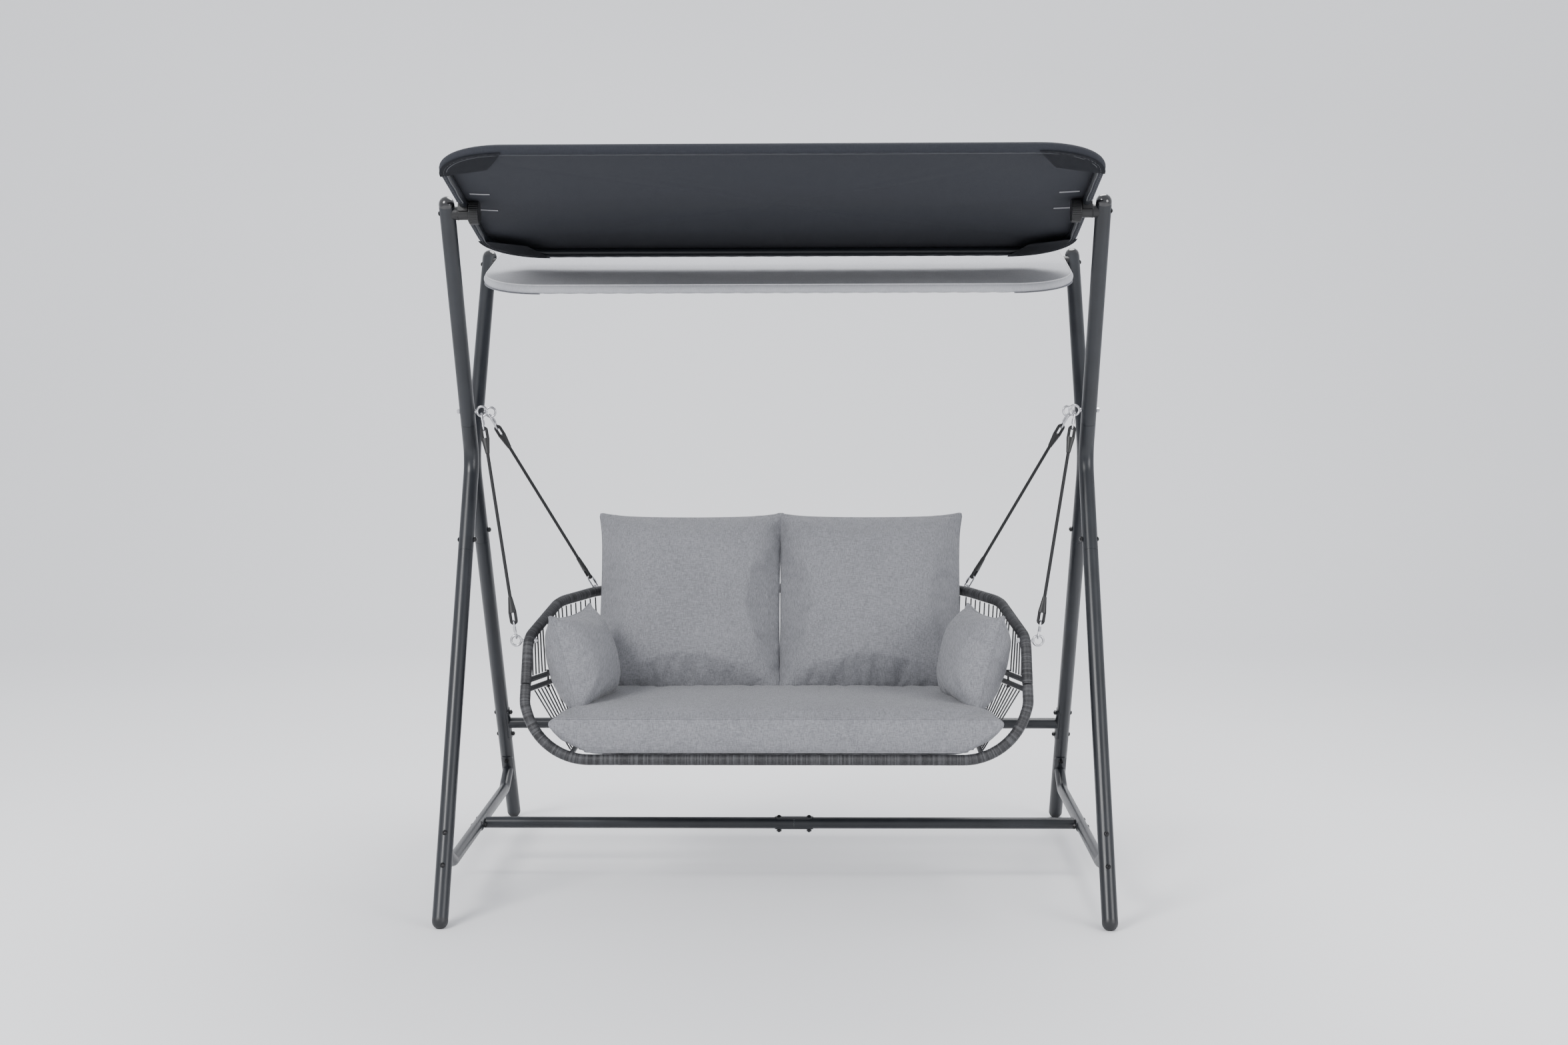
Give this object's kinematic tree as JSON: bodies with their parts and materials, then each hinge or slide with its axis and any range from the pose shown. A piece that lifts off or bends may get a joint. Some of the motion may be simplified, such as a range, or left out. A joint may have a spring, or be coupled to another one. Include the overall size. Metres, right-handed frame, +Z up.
{
  "type": "hanging basket swing seat",
  "caption": "Two-seat cushioned basket hung on ropes from a crossed-tube steel stand, under two tilting canopies with clamping knobs.",
  "frame": {"origin": "on the floor, at the centre of the overall box of the swing", "axes": "+X to the right across the seat, +Y from the seat's open front to its back, +Z up"},
  "size_m": [1.9022, 1.6772, 2.1201],
  "materials": {
    "frame_paint": "satin powder coat",
    "cap_gloss": "gloss",
    "foot_plastic": "satin",
    "black_bolts": "satin black",
    "zinc": "zinc plated",
    "knuckle_plastic": "satin",
    "front_canopy_cloth": "woven, coated",
    "rear_canopy_cloth": "woven, coated",
    "rope": "braided",
    "sleeve_plastic": "satin",
    "hoop_paint": "satin",
    "wicker": "woven resin strand",
    "strings": "satin",
    "cushion_fabric": "heather weave"
  },
  "bodies": {
    "stand": {"brace_bolts": "black_bolts", "crossbar_bolts": "black_bolts", "foot_caps": "foot_plastic", "frame_eye_bolts": "zinc", "front_crossbar_left": "frame_paint", "front_crossbar_right": "frame_paint", "front_lower_leg_left": "frame_paint", "front_lower_leg_right": "frame_paint", "front_upper_leg_left": "frame_paint", "front_upper_leg_right": "frame_paint", "leg_bolts": "black_bolts", "leg_top_caps": "cap_gloss", "pivot_bases": "knuckle_plastic", "pivot_bolts": "black_bolts", "rear_crossbar": "frame_paint", "rear_lower_leg_left": "frame_paint", "rear_lower_leg_right": "frame_paint", "rear_upper_leg_left": "frame_paint", "rear_upper_leg_right": "frame_paint", "side_brace_left": "frame_paint", "side_brace_right": "frame_paint", "splice_plates": "frame_paint", "x_node_left": "frame_paint", "x_node_right": "frame_paint"},
    "front_canopy": {"front_canopy_frame": "frame_paint", "front_canopy_cover": "front_canopy_cloth", "front_canopy_hubs": "knuckle_plastic"},
    "front_knob_left": {"front_knob_left": "knuckle_plastic"},
    "front_knob_right": {"front_knob_right": "knuckle_plastic"},
    "rear_canopy": {"rear_canopy_frame": "frame_paint", "rear_canopy_cover": "rear_canopy_cloth", "rear_canopy_hubs": "knuckle_plastic"},
    "rear_knob_left": {"rear_knob_left": "knuckle_plastic"},
    "rear_knob_right": {"rear_knob_right": "knuckle_plastic"},
    "front_hangers": {"front_link_nuts": "zinc", "front_quick_links": "zinc", "front_rope_left": "rope", "front_rope_loops": "rope", "front_rope_right": "rope", "front_rope_sleeves": "sleeve_plastic"},
    "rear_hangers": {"rear_link_nuts": "zinc", "rear_quick_links": "zinc", "rear_rope_left": "rope", "rear_rope_loops": "rope", "rear_rope_right": "rope", "rear_rope_sleeves": "sleeve_plastic"},
    "seat": {"arm_cushion_left": "cushion_fabric", "arm_cushion_right": "cushion_fabric", "back_cushion_left": "cushion_fabric", "back_cushion_right": "cushion_fabric", "back_strings": "strings", "lower_rim_wrap": "wicker", "seat_cushion": "cushion_fabric", "seat_eye_bolts": "zinc", "seat_frame_bolts": "black_bolts", "seat_lower_frame": "hoop_paint", "seat_strings": "strings", "seat_upper_frame": "hoop_paint", "upper_rim_wrap": "wicker"}
  },
  "joints": [
    {"name": "front_canopy_tilt", "type": "hinge", "parent": "stand", "child": "front_canopy", "pos_m": [0.92, -0.35715, 1.97015], "axis": [1, 0, 0], "range_deg": [-1, 40]},
    {"name": "front_knob_left_turn", "type": "hinge", "parent": "front_canopy", "child": "front_knob_left", "pos_m": [-0.844, -0.35715, 1.97015], "axis": [1, 0, 0], "continuous": true},
    {"name": "front_knob_right_turn", "type": "hinge", "parent": "front_canopy", "child": "front_knob_right", "pos_m": [0.844, -0.35715, 1.97015], "axis": [1, 0, 0], "continuous": true},
    {"name": "rear_canopy_tilt", "type": "hinge", "parent": "stand", "child": "rear_canopy", "pos_m": [0.92, 0.35715, 1.85443], "axis": [1, 0, 0], "range_deg": [-1, 40]},
    {"name": "rear_knob_left_turn", "type": "hinge", "parent": "rear_canopy", "child": "rear_knob_left", "pos_m": [-0.844, 0.35715, 1.85443], "axis": [1, 0, 0], "continuous": true},
    {"name": "rear_knob_right_turn", "type": "hinge", "parent": "rear_canopy", "child": "rear_knob_right", "pos_m": [0.844, 0.35715, 1.85443], "axis": [1, 0, 0], "continuous": true},
    {"name": "front_hanger_swing", "type": "hinge", "parent": "stand", "child": "front_hangers", "pos_m": [0.877, -0.08627, 1.38981], "axis": [1, 0, 0], "range_deg": [-14, 14]},
    {"name": "rear_hanger_swing", "type": "hinge", "parent": "stand", "child": "rear_hangers", "pos_m": [0.877, 0.0787, 1.38219], "axis": [1, 0, 0], "range_deg": [-14.8, 14.8]},
    {"name": "seat_on_front_hangers", "type": "hinge", "parent": "front_hangers", "child": "seat", "pos_m": [0.7586, -0.25538, 0.75714], "axis": [1, 0, 0], "range_deg": [-4.2, 4.2]}
  ],
  "couplings": [
    {"joint": "rear_hanger_swing", "follows": "front_hanger_swing", "ratio": 1.0462},
    {"joint": "seat_on_front_hangers", "follows": "front_hanger_swing", "ratio": -0.2625}
  ]
}
